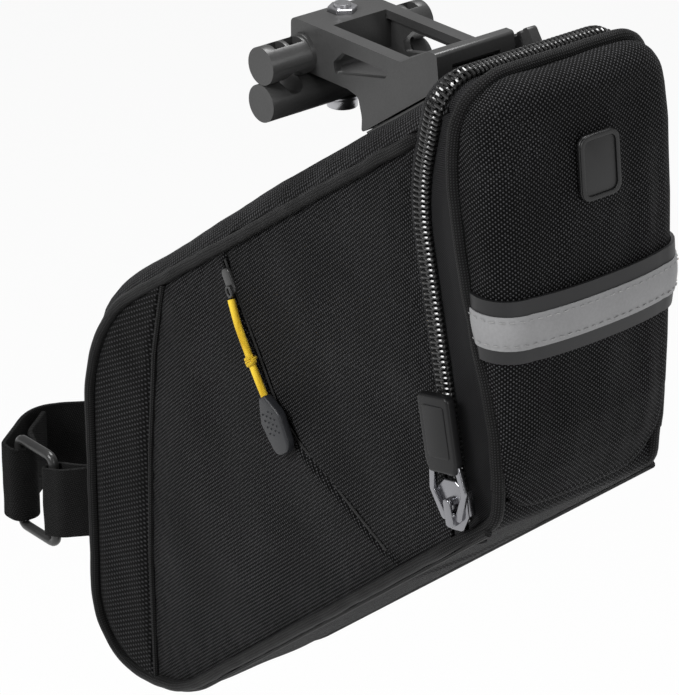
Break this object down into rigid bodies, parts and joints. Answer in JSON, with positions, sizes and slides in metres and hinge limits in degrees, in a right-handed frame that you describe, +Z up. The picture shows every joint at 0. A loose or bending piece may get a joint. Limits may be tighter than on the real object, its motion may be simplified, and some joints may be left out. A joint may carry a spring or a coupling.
{
  "type": "saddle bag",
  "caption": "Wedge saddle bag on a quick-release rail clip: zipped rear cover, cord-pull side pocket, reflective tape, seatpost strap with ring.",
  "frame": {"origin": "midway between the two saddle-rail channels of the clip, on the rails' plane", "axes": "+X rearward along the rails, +Y to the bag's right, +Z up"},
  "size_m": [0.2814, 0.0797, 0.272],
  "materials": {
    "clip_plastic": "glass-filled moulded plastic, fine grain",
    "steel": "satin",
    "bag_fabric": "coarse plain weave",
    "lining": "light lining cloth",
    "mesh_fabric": "knitted mesh",
    "piping_tape": "bound tape over cord",
    "zip_tape": "herringbone tape",
    "zip_coil": "nylon coil",
    "zip_metal": "bright metal",
    "puller_plastic": "moulded, soft sheen",
    "cord_yellow": "braided cord",
    "loop_webbing": "loop pile webbing",
    "ring_plastic": "moulded",
    "smooth_webbing": "smooth coated strip",
    "reflective": "retroreflective tape",
    "patch_rubber": "plain moulded patch"
  },
  "bodies": {
    "clip": {"clip_body": "clip_plastic", "clamp_nut": "steel", "button_spring": "steel"},
    "jaw": {"lower_jaw": "clip_plastic"},
    "bolt": {"clamp_bolt": "steel", "clamp_washer": "steel"},
    "button": {"release_button": "clip_plastic"},
    "bag": {"bracket_rail": "clip_plastic", "stiffener_plate": "clip_plastic", "bracket_screws": "steel", "top_gusset": "bag_fabric", "bottom_panel": "bag_fabric", "side_panel_left": "bag_fabric", "side_panel_right": "bag_fabric", "trim_left": "mesh_fabric", "trim_right": "mesh_fabric", "piping_left": "piping_tape", "piping_right": "piping_tape", "zip_tape_body": "zip_tape", "zip_coil_body": "zip_coil", "zip_stops": "zip_metal", "pocket_zip_coil": "zip_coil", "pocket_pouch": "lining", "seatpost_strap": "loop_webbing", "strap_anchor": "loop_webbing"},
    "cover": {"rear_cover": "bag_fabric", "cover_piping": "piping_tape", "zip_tape_cover": "zip_tape", "zip_coil_cover": "zip_coil", "light_strap": "smooth_webbing", "reflective_tape": "reflective", "blank_patch": "patch_rubber"},
    "slider": {"zip_slider": "zip_metal"},
    "puller": {"zip_bail": "zip_metal", "pull_tab": "puller_plastic"},
    "pocket_slider_body": {"pocket_slider": "zip_metal"},
    "pocket_puller": {"pull_cord": "cord_yellow", "cord_knot": "cord_yellow", "cord_grip": "puller_plastic"},
    "ring": {"strap_ring": "ring_plastic"}
  },
  "joints": [
    {"name": "jaw_drop", "type": "slide", "parent": "clip", "child": "jaw", "axis": [0, 0, -1], "range_m": [0, 0.004]},
    {"name": "bolt_turn", "type": "hinge", "parent": "jaw", "child": "bolt", "pos_m": [0, 0, -0.012], "axis": [0, 0, -1], "range_deg": [0, 1800]},
    {"name": "button_press", "type": "slide", "parent": "clip", "child": "button", "axis": [0, -1, 0], "range_m": [0, 0.0024], "stiffness_N_per_m": 600, "deforming": ["button_spring"]},
    {"name": "bag_release", "type": "slide", "parent": "clip", "child": "bag", "axis": [0.8171, 0, 0.5764], "range_m": [0, 0.04]},
    {"name": "cover_open", "type": "hinge", "parent": "bag", "child": "cover", "pos_m": [0.107, 0, -0.0965], "axis": [0, 1, 0], "range_deg": [0, 75]},
    {"name": "zip_travel", "type": "slide", "parent": "bag", "child": "slider", "axis": [-0.2127, 0, 0.9771], "range_m": [0, 0.05]},
    {"name": "puller_swing", "type": "hinge", "parent": "slider", "child": "puller", "pos_m": [0.09405, -0.03955, -0.10254], "axis": [0.9771, 0, 0.2127], "range_deg": [0, 170]},
    {"name": "pocket_zip_travel", "type": "slide", "parent": "bag", "child": "pocket_slider_body", "axis": [0.5561, -0.0291, -0.8306], "range_m": [0, 0.03]},
    {"name": "pocket_puller_swing", "type": "hinge", "parent": "pocket_slider_body", "child": "pocket_puller", "pos_m": [-0.0146, -0.03232, -0.0749], "axis": [-0.0523, -0.9986, 0], "range_deg": [-20, 20]},
    {"name": "ring_swing", "type": "hinge", "parent": "bag", "child": "ring", "pos_m": [-0.1232, -0.025, -0.1925], "axis": [0, 0, 1], "range_deg": [-6, 2]}
  ],
  "couplings": [
    {"joint": "bolt_turn", "follows": "jaw_drop", "rad_per_m": 7854}
  ]
}
